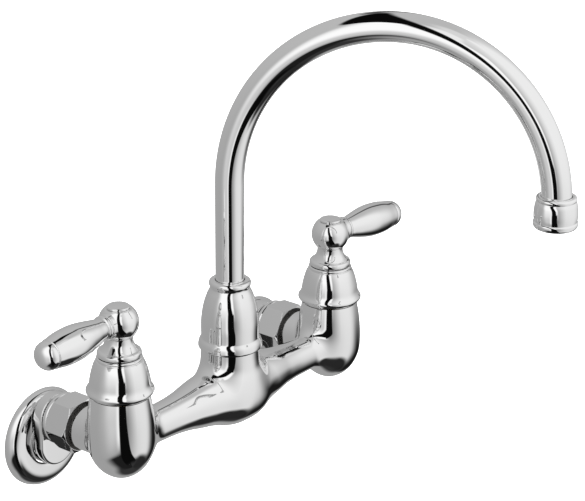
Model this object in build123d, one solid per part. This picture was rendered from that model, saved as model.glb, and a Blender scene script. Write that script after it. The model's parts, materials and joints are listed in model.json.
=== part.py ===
from build123d import *
import os
from math import cos, sin, radians, sqrt

# Wall-mounted two handle kitchen faucet with a swivelling gooseneck spout.
# Millimetres. The origin is on the wall plane, midway between the two supply
# inlets. +X runs to the right-hand valve, +Y into the wall, +Z up.

# ---- driving dimensions -------------------------------------------------
CENTRES = 203.2            # distance between the two supply inlets
HALF = CENTRES / 2
VALVE_Y = -71.0            # valve line and spout axis, in front of the wall
SEAT_Z = 52.2              # height of the bonnets' bottom bead above the inlets
ARM_Z = 18.2               # height of the unions and of the waterway through the bridge
BRIDGE_Z = 18.7            # height of the bridge arms' axis
TUBE_R = 9.3               # spout tube, outside
TUBE_WALL = 1.0
RISE_Z = 158.6             # where the straight rise ends and the arch starts
ARCH_R1 = 112.1            # rear quarter of the arch
ARCH_R2 = 97.5             # front quarter of the arch
TIP_DROP = 4.2             # straight end of the tube inside the aerator housing
SWIVEL = 18.5              # spout turned towards the right-hand valve, degrees
LEVER_L = 1.8              # left lever, turned forward from straight out
LEVER_R = 2.8              # right lever, turned forward from straight out
LEVER_DROOP = 2.2          # both levers slope down by this much, degrees
LEVER_Z = 45.6             # the lever's centre line at the valve axis, above the bead
BALL_Z = 44.9              # ball centre above the bead
BALL_R = 12.55
BALL_FLAT = 54.0           # flat on top of the ball, under the index button
LEVER_LEN = 68.2           # from the valve axis to the lever's tip
FLANGE_R = 32.4
NUT_AF = 32.0              # union nut, across flats

ARM_DROP = ARM_Z - SEAT_Z  # arms seen from the bead


# ---- helpers ------------------------------------------------------------
def chain(segs):
    out = []
    for seg in segs:
        pts = [(r, 0, z) for r, z in seg]
        out.append(Line(*pts) if len(pts) == 2 else Spline(*pts))
    return out


def lathe(*segs):
    """Turned solid about Z from joined profile segments of (r, z) points."""
    segs = list(segs)
    if segs[0][0] != segs[-1][-1]:
        segs.append([segs[-1][-1], segs[0][0]])
    s = revolve(Face(Wire(chain(segs))), Axis.Z, 360)
    return s


def poly(*pts):
    """Turned solid about Z from a closed polygon of (r, z) points."""
    segs = [[pts[i], pts[i + 1]] for i in range(len(pts) - 1)]
    return lathe(*segs)


def cyl(r, z0, z1):
    return Pos(0, 0, (z0 + z1) / 2) * Cylinder(r, z1 - z0)


def ring(r0, r1, z0, z1):
    return cyl(r1, z0, z1) - cyl(r0, z0 - 1, z1 + 1)


def rod(p, q, r):
    """Round bar from p to q."""
    a, b = Vector(*p), Vector(*q)
    d = b - a
    return Plane(origin=a, z_dir=d) * Pos(0, 0, d.length / 2) * Cylinder(r, d.length)


def one(shape):
    """A single clean solid out of a boolean result."""
    sol = shape.solids()
    return sol[0] if len(sol) == 1 else shape


TO_WALL = Rot(90, 0, 0)    # turned about Z -> turned about -Y, z becomes the distance from the wall
TO_X = Rot(0, 90, 0)       # turned about Z -> turned about +X

nodes = {}

# ---- body casting -------------------------------------------------------
cup = lathe(
    [(0, -58.2), (3.2, -57.8), (6.6, -56.6), (9.5, -55.0), (12.3, -52.9), (15.1, -50.0), (17.6, -46.2),
     (19.5, -42.0), (20.7, -37.5), (21.2, -32.0), (21.2, -26.0), (20.9, -20.0), (20.3, -14.0), (19.4, -8.2),
     (18.4, -3.0)],
    [(18.4, -3.0), (0, -3.0)],
)
arms = lathe(
    [(0, -90), (11.5, -90)],
    [(11.5, -90), (11.5, -80), (11.55, -72), (11.75, -64), (12.1, -57), (12.8, -50), (13.5, -45), (14.5, -40),
     (15.7, -34), (17.0, -26), (17.9, -16), (18.2, 0), (17.9, 16), (17.0, 26), (15.7, 34), (14.5, 40), (13.5, 45),
     (12.8, 50), (12.1, 57), (11.75, 64), (11.55, 72), (11.5, 80), (11.5, 90)],
    [(11.5, 90), (0, 90)],
)
belly = lathe(
    [(0, -34.0), (7.6, -32.5), (11.6, -27.5), (15.3, -21.0), (18.8, -13.0), (20.1, -6.0), (20.3, 0),
     (20.1, 6.0), (18.8, 13.0), (15.3, 21.0), (11.6, 27.5), (7.6, 32.5), (0, 34.0)],
)
neck = lathe(
    [(0, -34.0), (17.0, -34.0)],
    [(17.0, -34.0), (19.6, -27.0), (20.3, -20.0), (19.75, -16.0), (19.3, -12.0), (19.1, -9.0), (19.05, -3.9)],
    [(19.05, -3.9), (15.0, -3.9)],
    [(15.0, -3.9), (15.0, 12.0)],
    [(15.0, 12.0), (0, 12.0)],
)
body = Pos(0, VALVE_Y, BRIDGE_Z) * TO_X * arms
body += Pos(0, VALVE_Y - 2.5, ARM_Z - 1.0) * TO_X * belly
body += Pos(0, VALVE_Y, SEAT_Z) * neck
for s in (-1, 1):
    body += Pos(s * HALF, VALVE_Y, SEAT_Z) * cup
    tail = cyl(14.5, 42.3, -VALVE_Y) + cyl(13.2, 27.0, 43.0)
    body += Pos(s * HALF, 0, ARM_Z) * TO_WALL * tail
# waterways, cartridge wells and the spout well
cut = Pos(0, VALVE_Y, SEAT_Z) * (cyl(12.5, -27, 13) + cyl(9.0, -43, -26))
cut += Pos(0, VALVE_Y, ARM_Z) * TO_X * cyl(4.5, -HALF, HALF)
for s in (-1, 1):
    well = cyl(16.0, -10.0, 0) + cyl(13.0, -38.0, -9) + cyl(8.0, -48.5, -37)
    cut += Pos(s * HALF, VALVE_Y, SEAT_Z) * well
    cut += Pos(s * HALF, 0, ARM_Z) * TO_WALL * cyl(8.0, 26.0, 54.5)
    cut += rod((s * HALF, VALVE_Y + 21.0, ARM_Z - 5.6), (s * HALF, VALVE_Y, ARM_Z - 10.5), 2.8)
body_casting = body - cut
nodes["body_casting"] = one(body_casting)

# ---- spout --------------------------------------------------------------
nut = lathe(
    [(15.06, -3.6), (19.1, -3.6)],
    [(19.1, -3.6), (19.9, -3.35), (20.5, -2.8), (20.7, -2.0), (20.6, -0.8), (20.35, 0.5), (19.95, 1.7), (19.45, 2.6),
     (18.95, 3.4), (18.75, 3.9)],
    [(18.75, 3.9), (18.75, 6.0), (18.8, 10.0), (18.75, 14.0), (18.4, 18.0), (17.85, 22.0), (17.25, 25.0),
     (16.5, 28.0), (15.5, 31.0), (14.3, 34.0), (13.3, 36.0), (12.8, 37.3)],
    [(12.8, 37.3), (13.0, 38.2), (13.5, 39.4), (13.55, 40.7), (12.9, 42.0), (11.5, 42.6)],
    [(11.5, 42.6), (9.6, 42.6)],
    [(9.6, 42.6), (9.6, 18.5)],
    [(9.6, 18.5), (14.8, 18.5)],
    [(14.8, 18.5), (14.8, 12.8)],
    [(14.8, 12.8), (15.06, 12.5)],
)
nodes["spout_nut"] = Pos(0, VALVE_Y, SEAT_Z) * nut
nodes["spout_bearing"] = Pos(0, VALVE_Y, SEAT_Z) * ring(12.7, 14.6, 12.02, 13.5)
retainer = ring(9.7, 14.6, 16.58, 18.45) - Pos(12, 0, 17.5) * Box(10, 1.6, 4)
nodes["spout_retainer"] = Pos(0, VALVE_Y, SEAT_Z) * one(retainer)

z1 = RISE_Z - SEAT_Z
zc = z1 + ARCH_R1 - ARCH_R2
k = sqrt(0.5)
path = Wire([
    Line((0, 0, -24.0), (0, 0, z1)),
    ThreePointArc((0, 0, z1), (0, -ARCH_R1 * (1 - k), z1 + ARCH_R1 * k), (0, -ARCH_R1, z1 + ARCH_R1)),
    ThreePointArc((0, -ARCH_R1, z1 + ARCH_R1), (0, -ARCH_R1 - ARCH_R2 * k, zc + ARCH_R2 * k),
                  (0, -ARCH_R1 - ARCH_R2, zc)),
    Line((0, -ARCH_R1 - ARCH_R2, zc), (0, -ARCH_R1 - ARCH_R2, zc - TIP_DROP)),
])
section = Plane(origin=(0, 0, -24.0), z_dir=(0, 0, 1)) * (Circle(TUBE_R) - Circle(TUBE_R - TUBE_WALL))
tube = sweep(section, path=path)
print("tube length", round(path.length, 1), "volume ratio",
      round(tube.volume / (path.length * 3.14159265 * (TUBE_R ** 2 - (TUBE_R - TUBE_WALL) ** 2)), 4))

spigot = poly((8.3, -26.0), (12.42, -26.0), (12.42, -19.3), (10.05, -19.3), (10.05, -16.7), (12.42, -16.7),
              (12.42, -10.3), (10.05, -10.3), (10.05, -7.7), (12.42, -7.7), (12.42, 13.55), (14.0, 13.55),
              (14.0, 16.5), (9.35, 16.5), (9.35, -24.05), (8.3, -24.05))
oring = Torus(11.25, 1.19)
orings = Compound(children=[Pos(0, 0, -18.0) * oring, Pos(0, 0, -9.0) * oring])

TIP_S = ARCH_R1 + ARCH_R2
ze = zc - TIP_DROP         # end of the tube, seen from the bead
housing = lathe(
    [(9.5, ze + 9.4), (10.7, ze + 9.5)],
    [(10.7, ze + 9.5), (11.8, ze + 9.1), (12.35, ze + 8.2), (12.25, ze + 7.2), (11.9, ze + 6.6)],
    [(11.9, ze + 6.6), (12.5, ze + 5.2), (13.0, ze + 2.6), (13.35, ze - 1.0), (13.3, ze - 3.8), (13.0, ze - 6.0)],
    [(13.0, ze - 6.0), (13.45, ze - 6.5), (13.6, ze - 7.6), (13.4, ze - 8.8), (12.8, ze - 9.8), (12.1, ze - 10.3)],
    [(12.1, ze - 10.3), (11.0, ze - 10.3)],
    [(11.0, ze - 10.3), (11.0, ze - 0.1)],
    [(11.0, ze - 0.1), (9.36, ze - 0.1)],
    [(9.36, ze - 0.1), (9.36, ze + 4.0)],
    [(9.36, ze + 4.0), (9.5, ze + 5.0)],
)
insert = ring(9.0, 10.85, ze - 8.9, ze - 3.5) + cyl(10.85, ze - 3.6, ze - 1.1)
insert -= cyl(2.2, ze - 5, ze)
for i in range(6):
    insert -= Rot(0, 0, 60 * i) * Pos(5.6, 0, ze - 2.5) * Cylinder(1.3, 6)
washer = ring(8.3, 10.85, ze - 1.05, ze - 0.15)
screen = cyl(10.85, ze - 9.6, ze - 8.95)
holes = [(0.0, 0.0)] + [(3.0 * cos(radians(60 * i)), 3.0 * sin(radians(60 * i))) for i in range(6)]
holes += [(6.0 * cos(radians(30 * i)), 6.0 * sin(radians(30 * i))) for i in range(12)]
holes += [(8.7 * cos(radians(20 * i)), 8.7 * sin(radians(20 * i))) for i in range(18)]
for hx, hy in holes:
    screen -= Pos(hx, hy, ze - 9.3) * Cylinder(0.75, 3)

SPOUT = Pos(0, VALVE_Y, SEAT_Z) * Rot(0, 0, SWIVEL)
TIP = SPOUT * Pos(0, -TIP_S, 0)
nodes["spout_tube"] = SPOUT * tube
nodes["spout_spigot"] = SPOUT * spigot
nodes["spout_orings"] = SPOUT * orings
nodes["aerator_housing"] = TIP * housing
nodes["aerator_insert"] = TIP * one(insert)
nodes["aerator_washer"] = TIP * washer
nodes["aerator_screen"] = TIP * one(screen)

# ---- one valve, about its own axis, heights from the bead ----------------
cartridge = poly((12.9, -36.0), (12.9, -10.0), (15.8, -10.0), (15.8, -7.0), (7.95, -7.0), (7.95, 16.0),
                 (4.88, 16.0), (4.88, -25.0), (10.0, -25.0), (10.0, -36.0))
cartridge -= Pos(0, 0, -30.0) * Rot(0, 90, 0) * Cylinder(2.8, 40)
bonnet_nut = poly((8.1, -6.9), (15.9, -6.9), (15.9, 1.5), (10.9, 1.5), (10.9, 14.0), (8.1, 14.0))
bonnet = lathe(
    [(16.7, -2.7), (18.2, -2.7)],
    [(18.2, -2.7), (19.3, -2.1), (20.4, -1.0), (21.15, 0.3), (21.1, 1.2), (20.3, 2.5), (19.5, 4.0),
     (19.05, 5.6), (18.75, 7.5), (18.3, 10.0), (17.6, 13.0), (16.75, 16.0), (15.6, 19.0), (14.75, 20.7)],
    [(14.75, 20.7), (14.05, 20.9)],
    [(14.05, 20.9), (14.35, 21.5), (14.3, 22.4), (13.6, 23.0)],
    [(13.6, 23.0), (6.8, 23.0)],
    [(6.8, 23.0), (6.8, 20.3)],
    [(6.8, 20.3), (11.3, 20.3)],
    [(11.3, 20.3), (11.3, 14.5)],
    [(11.3, 14.5), (10.95, 14.5)],
    [(10.95, 14.5), (10.95, 8.0)],
    [(10.95, 8.0), (14.5, 8.0)],
    [(14.5, 8.0), (16.7, 4.0)],
)
disc_fixed = cyl(9.8, -35.4, -31.95)
disc_moving = cyl(9.8, -31.9, -28.45) - Pos(0, 0, -28.45) * Box(3.3, 12.6, 2.6)
for dx in (-5.6, 5.6):
    disc_fixed -= Pos(dx, 0, -33) * Cylinder(2.6, 10)
    disc_moving -= Pos(dx, 0, -31) * Cylinder(2.6, 12)
seal = ring(6.6, 9.9, -37.95, -35.45)
stem = poly((0, -28.4), (9.7, -28.4), (9.7, -25.4), (4.8, -25.4), (4.8, 1.1), (3.75, 1.1), (3.75, 2.9),
            (4.8, 2.9), (4.8, 16.3), (4.0, 16.3), (4.0, 17.3), (4.8, 17.3), (4.8, 34.0), (0, 34.0))
stem += Pos(0, 0, 40.2) * Box(6.6, 6.6, 12.6)
stem += Pos(0, 0, -28.9) * Box(3.1, 12.2, 1.4)
stem -= cyl(2.56, 34.5, 50)
stem_oring = Torus(4.28, 0.52)
stem_clip = ring(4.03, 6.3, 16.36, 17.24) - Pos(5, 0, 16.8) * Box(6, 5, 3)
screw = cyl(2.5, 36.0, 50.1) + lathe([(0, 50.0), (4.6, 50.0)], [(4.6, 50.0), (4.6, 51.6)],
                                     [(4.6, 51.6), (4.0, 52.6), (2.2, 53.05), (0, 53.1)])
screw -= Pos(0, 0, 53.0) * Box(1.0, 7.0, 2.4)
button = lathe([(0, 52.9), (6.0, 52.9)], [(6.0, 52.9), (6.0, 54.08)], [(6.0, 54.08), (7.1, 54.08)],
               [(7.1, 54.08), (7.2, 55.15)],
               [(7.2, 55.15), (6.9, 55.5), (5.8, 55.7), (3.0, 55.86), (0, 55.9)]) - cyl(5.2, 52, 54.5)

skirt = lathe(
    [(0, 23.3), (13.2, 23.3)],
    [(13.2, 23.3), (13.75, 24.0), (13.85, 25.2), (13.5, 26.4), (12.7, 27.1)],
    [(12.7, 27.1), (11.9, 27.3)],
    [(11.9, 27.3), (10.8, 28.5), (9.8, 30.0), (9.05, 31.6), (8.7, 33.2), (8.6, 34.6), (8.7, 36.0)],
    [(8.7, 36.0), (8.7, 38.0)],
    [(8.7, 38.0), (0, 38.0)],
)
lever = lathe(
    [(0, 4.0), (8.05, 4.0)],
    [(8.05, 4.0), (8.05, 12.3)],
    [(8.05, 12.3), (6.9, 12.8)],
    [(6.9, 12.8), (7.75, 13.3), (7.95, 14.1), (7.6, 14.9)],
    [(7.6, 14.9), (6.7, 15.4)],
    [(6.7, 15.4), (7.05, 16.6), (7.75, 20.0), (8.65, 24.0), (9.5, 28.2), (10.2, 32.0), (10.7, 35.5), (11.05, 40.0),
     (11.08, 43.0), (10.95, 47.5), (10.45, 52.5), (9.75, 56.6), (9.35, 59.2), (9.2, 59.8)],
    [(9.2, 59.8), (8.7, 60.1)],
    [(8.7, 60.1), (9.0, 60.6), (9.05, 61.4), (8.9, 62.6), (8.3, 64.2), (7.1, 65.9), (5.0, 67.35), (2.6, 68.0), (0, LEVER_LEN)],
)
handle = skirt + Pos(0, 0, BALL_Z) * Sphere(BALL_R) + Pos(0, 0, LEVER_Z) * Rot(0, 90 + LEVER_DROOP, 0) * lever
handle -= cyl(11.2, 23.0, 26.0) + cyl(4.9, 25.0, 34.2) + Pos(0, 0, 40.6) * Box(6.8, 6.8, 13.2)
handle -= cyl(2.75, 46.0, 51.0) + cyl(5.2, 50.0, 54.0) + cyl(6.1, 52.8, 60.0)
handle -= Pos(0, 0, BALL_FLAT + 10) * Box(40, 40, 20)

# ---- eccentric union, nut, washer and wall flange, turned from the wall --
AX_UP = ARM_Z              # upper axis of the offset union

block = extrude(Plane(origin=(0, -9.2, AX_UP / 2), x_dir=(1, 0, 0), z_dir=(0, -1, 0))
                * SlotCenterToCenter(AX_UP, 30.0, rotation=90), 7.2)
try:
    block = fillet(block.faces().sort_by(Axis.Y)[0].edges(), 1.2)
except Exception:
    pass
union = block + TO_WALL * cyl(15.6, 0, 12.0)
union += Pos(0, 0, AX_UP) * TO_WALL * (cyl(11.0, 15.0, 24.6) + cyl(12.9, 22.2, 24.6))
union -= TO_WALL * poly((0, -1), (9.9, -1), (9.9, 9.0), (5.0, 11.5), (0, 11.5))
union -= Pos(0, 0, AX_UP) * TO_WALL * cyl(6.5, 17.5, 26.0)
union -= rod((0, -3.0, 0), (0, -20.0, AX_UP), 4.2)

# hexagon with a chamfer in front and a round collar behind
hexa = extrude(Plane(origin=(0, 0, 19.5)) * RegularPolygon(NUT_AF / 2, 6, major_radius=False, rotation=0), 19.1)
trim = lathe(
    [(0, 19.4), (15.6, 19.4)],
    [(15.6, 19.4), (16.2, 21.6)],
    [(16.2, 21.6), (18.7, 23.8)],
    [(18.7, 23.8), (18.7, 37.2)],
    [(18.7, 37.2), (18.2, 37.5), (17.2, 38.1), (16.2, 38.6)],
    [(16.2, 38.6), (0, 38.6)],
)
collar = lathe([(0, 18.0), (15.2, 18.0)], [(15.2, 18.0), (16.1, 18.5), (16.6, 19.4), (16.6, 20.6), (16.2, 21.6)],
               [(16.2, 21.6), (15.7, 23.0)], [(15.7, 23.0), (0, 23.0)])
union_nut = (hexa & trim) + collar
union_nut -= cyl(11.2, 17.0, 30.0) + cyl(13.26, 22.1, 43.0)
union_washer = ring(8.2, 13.0, 24.65, 26.95)

flange = lathe(
    [(30.7, 0), (32.1, 0)],
    [(32.1, 0), (32.4, 0.8), (32.3, 2.2), (31.9, 3.6), (31.2, 5.0), (30.1, 6.3), (28.7, 7.4), (27.0, 8.05), (25.0, 8.35),
     (22.0, 8.45), (19.0, 8.4), (17.4, 8.2), (16.5, 7.7)],
    [(16.5, 7.7), (16.2, 7.5)],
    [(16.2, 7.5), (16.2, 6.4)],
    [(16.2, 6.4), (25.0, 6.6)],
    [(25.0, 6.6), (28.2, 5.4)],
    [(28.2, 5.4), (30.0, 3.2)],
    [(30.0, 3.2), (30.7, 0)],
)

for s, side, lever_turn, nut_turn in ((-1, "left", 180 + LEVER_L, 35), (1, "right", -LEVER_R, 30)):
    V = Pos(s * HALF, VALVE_Y, SEAT_Z)
    H = V * Rot(0, 0, lever_turn)
    nodes["valve_cartridge_" + side] = V * one(cartridge)
    nodes["bonnet_nut_" + side] = V * bonnet_nut
    nodes["bonnet_" + side] = V * bonnet
    nodes["disc_fixed_" + side] = V * one(disc_fixed)
    nodes["cartridge_seal_" + side] = V * seal
    nodes["disc_moving_" + side] = H * one(disc_moving)
    nodes["valve_stem_" + side] = H * one(stem)
    nodes["stem_oring_" + side] = H * Pos(0, 0, 2.0) * stem_oring
    nodes["stem_clip_" + side] = H * one(stem_clip)
    nodes["handle_" + side] = H * one(handle)
    nodes["handle_screw_" + side] = H * one(screw)
    nodes["index_button_" + side] = H * one(button)
    W = Pos(s * HALF, 0, 0)
    U = Pos(s * HALF, 0, ARM_Z)
    nodes["eccentric_union_" + side] = W * one(union)
    nodes["wall_flange_" + side] = W * TO_WALL * flange
    # each nut's flats stand at the angle where the nut is tight
    nodes["union_nut_" + side] = U * TO_WALL * Rot(0, 0, nut_turn) * one(union_nut)
    nodes["union_washer_" + side] = U * TO_WALL * union_washer

os.makedirs("parts", exist_ok=True)
for name, shape in nodes.items():
    export_step(shape, "parts/" + name + ".step")
print(len(nodes), "nodes")
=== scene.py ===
import bpy
import bmesh
import json
import math
import numpy as np
from mathutils import Matrix, Vector


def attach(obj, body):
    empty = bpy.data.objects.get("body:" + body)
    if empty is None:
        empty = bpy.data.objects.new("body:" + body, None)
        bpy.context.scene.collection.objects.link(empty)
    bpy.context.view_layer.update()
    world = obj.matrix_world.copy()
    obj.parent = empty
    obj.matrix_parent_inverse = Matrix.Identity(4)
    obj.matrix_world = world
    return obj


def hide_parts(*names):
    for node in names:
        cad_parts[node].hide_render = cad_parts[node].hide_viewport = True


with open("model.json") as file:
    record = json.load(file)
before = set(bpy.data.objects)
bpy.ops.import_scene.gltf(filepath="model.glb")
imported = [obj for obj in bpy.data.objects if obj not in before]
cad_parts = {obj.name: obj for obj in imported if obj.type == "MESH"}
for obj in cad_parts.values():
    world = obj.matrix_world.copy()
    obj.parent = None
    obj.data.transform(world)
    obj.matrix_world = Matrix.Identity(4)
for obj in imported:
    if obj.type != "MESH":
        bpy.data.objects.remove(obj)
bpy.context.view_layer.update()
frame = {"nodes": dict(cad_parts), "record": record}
REC = frame["record"]
MM = 0.001

# ---- sizes, millimetres, as in the CAD source -----------------------------
HALF = 101.6
VALVE_Y = -71.0
SEAT_Z = 52.2
ARM_Z = 18.2
BRIDGE_Z = 18.7
TUBE_R, TUBE_WALL = 9.3, 1.0
RISE_Z = 158.6
ARCH_R1, ARCH_R2 = 112.1, 97.5
TIP_DROP = 4.2
SWIVEL = 18.5
LEVER_L, LEVER_R = 1.8, 2.8
LEVER_DROOP, LEVER_Z = 2.2, 45.6
BALL_Z, BALL_R, BALL_FLAT = 44.9, 12.55, 54.0
LEVER_LEN = 68.2
NUT_AF = 32.0


# ===========================================================================
# profile and mesh helpers
# ===========================================================================
def spline(pts, step=0.08):
    """Points along a natural cubic spline through (r, z) points; two points give a line."""
    p = np.array(pts, float)
    d = np.hypot(*np.diff(p, axis=0).T)
    t = np.r_[0.0, np.cumsum(d)]
    n = max(2, int(math.ceil(t[-1] / step)) + 1)
    s = np.linspace(0, t[-1], n)
    if len(p) == 2:
        return p[0] + (p[1] - p[0]) * (s / t[-1])[:, None]
    m = len(p)
    a = np.zeros((m, m))
    b = np.zeros((m, 2))
    a[0, 0] = a[-1, -1] = 1.0
    for i in range(1, m - 1):
        h0, h1 = t[i] - t[i - 1], t[i + 1] - t[i]
        a[i, i - 1], a[i, i], a[i, i + 1] = h0, 2 * (h0 + h1), h1
        b[i] = 6 * ((p[i + 1] - p[i]) / h1 - (p[i] - p[i - 1]) / h0)
    k = np.linalg.solve(a, b)
    i = np.clip(np.searchsorted(t, s, side="right") - 1, 0, m - 2)
    h = (t[i + 1] - t[i])[:, None]
    u = (t[i + 1] - s)[:, None]
    v = (s - t[i])[:, None]
    return (k[i] * u ** 3 + k[i + 1] * v ** 3) / (6 * h) + (p[i] / h - k[i] * h / 6) * u + (p[i + 1] / h - k[i + 1] * h / 6) * v


def outline(segs, soft=0.14, closed=False):
    """Joined profile segments, evenly stepped, with every corner rounded by about soft mm."""
    pts = []
    for seg in segs:
        q = spline(seg)
        pts.append(q if not pts else q[1:])
    p = np.vstack(pts)
    if closed:
        if np.hypot(*(p[0] - p[-1])) > 1e-6:
            p = np.vstack([p, spline([p[-1], p[0]])[1:]])
        p = p[:-1]
    q = np.vstack([p, p[:1]]) if closed else p
    t = np.r_[0.0, np.cumsum(np.hypot(*np.diff(q, axis=0).T))]
    step = 0.05
    n = max(8, int(t[-1] / step))
    s = np.linspace(0, t[-1], n + 1)
    q = np.stack([np.interp(s, t, q[:, 0]), np.interp(s, t, q[:, 1])], 1)
    if closed:
        q = q[:-1]
    w = max(1, int(round(soft / step)))
    x = np.arange(-3 * w, 3 * w + 1)
    g = np.exp(-0.5 * (x / w) ** 2)
    g /= g.sum()
    if closed:
        pad = np.vstack([q[-3 * w:], q, q[:3 * w]])
    else:
        # mirrored through the end points, so the ends stay where they are
        pad = np.vstack([2 * q[0] - q[3 * w:0:-1], q, 2 * q[-1] - q[-2:-3 * w - 2:-1]])
    return np.stack([np.convolve(pad[:, i], g, "valid") for i in (0, 1)], 1)


def thin(q, closed=False, turn=5.0, longest=2.5):
    """Fewer points where the outline is straight. Returns points and outline normals (right of travel)."""
    if closed:
        qq = np.vstack([q[-1:], q, q[:1]])
    else:
        qq = np.vstack([2 * q[0] - q[1], q, 2 * q[-1] - q[-2]])
    tan = qq[2:] - qq[:-2]
    tan /= np.maximum(np.hypot(*tan.T), 1e-12)[:, None]
    ang = np.unwrap(np.arctan2(tan[:, 1], tan[:, 0]))
    if closed:
        q2 = np.vstack([q, q[:1]])
        ang2 = np.r_[ang, ang[-1] + (ang[0] - ang[-1] + math.pi) % (2 * math.pi) - math.pi]
    else:
        q2, ang2 = q, ang
    ds = np.hypot(*np.diff(q2, axis=0).T)
    m = np.r_[0.0, np.cumsum(np.abs(np.diff(ang2)) / math.radians(turn) + ds / longest)]
    n = max(3, int(math.ceil(m[-1])))
    u = np.linspace(0, m[-1], n + 1)
    pts = np.stack([np.interp(u, m, q2[:, 0]), np.interp(u, m, q2[:, 1])], 1)
    a = np.interp(u, m, ang2)
    nor = np.stack([np.sin(a), -np.cos(a)], 1)
    if closed:
        pts, nor = pts[:-1], nor[:-1]
    return pts, nor


def grid_faces(rows, n, wrap_rows=False, wrap=True):
    """Quads between the rows of a rows x n grid of vertex numbers."""
    index = np.arange(rows * n).reshape(rows, n)
    a = index if wrap_rows else index[:-1]
    b = np.roll(index, -1, 0) if wrap_rows else index[1:]
    if wrap:
        a2, b2 = np.roll(a, -1, 1), np.roll(b, -1, 1)
    else:
        a, a2, b, b2 = a[:, :-1], a[:, 1:], b[:, :-1], b[:, 1:]
    return np.stack([a, a2, b2, b], -1).reshape(-1, 4)


def moved(mat, v, n):
    if mat is None:
        return v, n
    m = np.array(mat, float)
    return v @ m[:3, :3].T + m[:3, 3], n @ m[:3, :3].T


def shell(pts, nor, closed, segs=160, mat=None):
    """Turned surface about Z. mat maps to the row frame (mm). A point on the axis becomes one vertex."""
    th = np.arange(segs) * 2 * math.pi / segs
    c, s = np.cos(th), np.sin(th)
    one = np.ones(segs)
    v = np.stack([pts[:, :1] * c, pts[:, :1] * s, pts[:, 1:] * one], -1).reshape(-1, 3)
    n = np.stack([nor[:, :1] * c, nor[:, :1] * s, nor[:, 1:] * one], -1).reshape(-1, 3)
    faces = grid_faces(len(pts), segs, closed)
    pole = np.repeat(np.abs(pts[:, 0]) < 1e-4, segs)
    if pole.any():
        first = (np.arange(len(v)) // segs) * segs
        target = np.where(pole, first, np.arange(len(v)))
        n[pole] = np.stack([np.zeros(pole.sum()), np.zeros(pole.sum()), np.where(n[pole][:, 2] > 0, 1.0, -1.0)], 1)
        keep = target == np.arange(len(v))
        number = np.cumsum(keep) - 1
        faces = number[target[faces]]
        v, n = v[keep], n[keep]
    v, n = moved(mat, v, n)
    return v, n, faces


def lathe(segs_, mat=None, closed=False, soft=0.14, segs=160, turn=5.0, longest=2.5):
    q = outline(segs_, soft, closed)
    pts, nor = thin(q, closed, turn, longest)
    # the outline's right side is outwards when it runs up the outside; flip it otherwise
    if closed:
        x, y = pts[:, 0], pts[:, 1]
        area = 0.5 * np.sum(x * np.roll(y, -1) - np.roll(x, -1) * y)
        if area < 0:
            pts, nor = pts[::-1], -nor[::-1]
    return shell(pts, nor, closed, segs, mat)


def make_mesh(name, v, faces):
    """Mesh from vertices and an (n, 4) face array; a face that names a vertex twice becomes a triangle."""
    same = faces == np.roll(faces, -1, 1)
    tri = same.sum(1) == 1
    quads = faces[same.sum(1) == 0]
    t = faces[tri]
    drop = np.argmax(same[tri], 1)
    cols = (drop[:, None] + np.arange(1, 4)) % 4
    tris = np.take_along_axis(t, cols, 1)
    me = bpy.data.meshes.new(name)
    me.vertices.add(len(v))
    me.vertices.foreach_set("co", np.ascontiguousarray(v, np.float32).ravel())
    loops = np.concatenate([quads.ravel(), tris.ravel()]).astype(np.int32)
    me.loops.add(len(loops))
    me.loops.foreach_set("vertex_index", loops)
    me.polygons.add(len(quads) + len(tris))
    start = np.concatenate([np.arange(len(quads)) * 4, quads.size + np.arange(len(tris)) * 3]).astype(np.int32)
    me.polygons.foreach_set("loop_start", start)
    me.update(calc_edges=True)
    return me


def put(name, shells, body, replaced=(), material=None):
    """One object from several (verts mm, normals, faces) shells, smooth, with its own normals."""
    vs, ns, fs, off = [], [], [], 0
    for v, n, f in shells:
        vs.append(v)
        ns.append(n)
        fs.append(np.asarray(f) + off)
        off += len(v)
    v, n, f = np.vstack(vs) * MM, np.vstack(ns), np.vstack(fs)
    n = n / np.maximum(np.linalg.norm(n, axis=1), 1e-9)[:, None]
    # faces whose winding disagrees with the stored normals are turned over
    fn = np.cross(v[f[:, 2]] - v[f[:, 0]], v[f[:, 3]] - v[f[:, 1]])
    wrong = np.einsum("ij,ij->i", fn, n[f].sum(1)) < 0
    f[wrong] = f[wrong][:, ::-1]
    me = make_mesh(name, v, f)
    me.polygons.foreach_set("use_smooth", np.ones(len(me.polygons), bool))
    me.normals_split_custom_set_from_vertices(n.tolist())
    ob = bpy.data.objects.new(name, me)
    bpy.context.scene.collection.objects.link(ob)
    if material is not None:
        me.materials.append(material)
    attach(ob, body)
    if replaced:
        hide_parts(*replaced)
    return ob


def T(x=0, y=0, z=0):
    return Matrix.Translation((x, y, z))


def RZ(deg):
    return Matrix.Rotation(math.radians(deg), 4, "Z")


def RX(deg):
    return Matrix.Rotation(math.radians(deg), 4, "X")


def RY(deg):
    return Matrix.Rotation(math.radians(deg), 4, "Y")


TO_WALL = RX(90)      # z of the profile becomes the distance from the wall
TO_X = RY(90)


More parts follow.
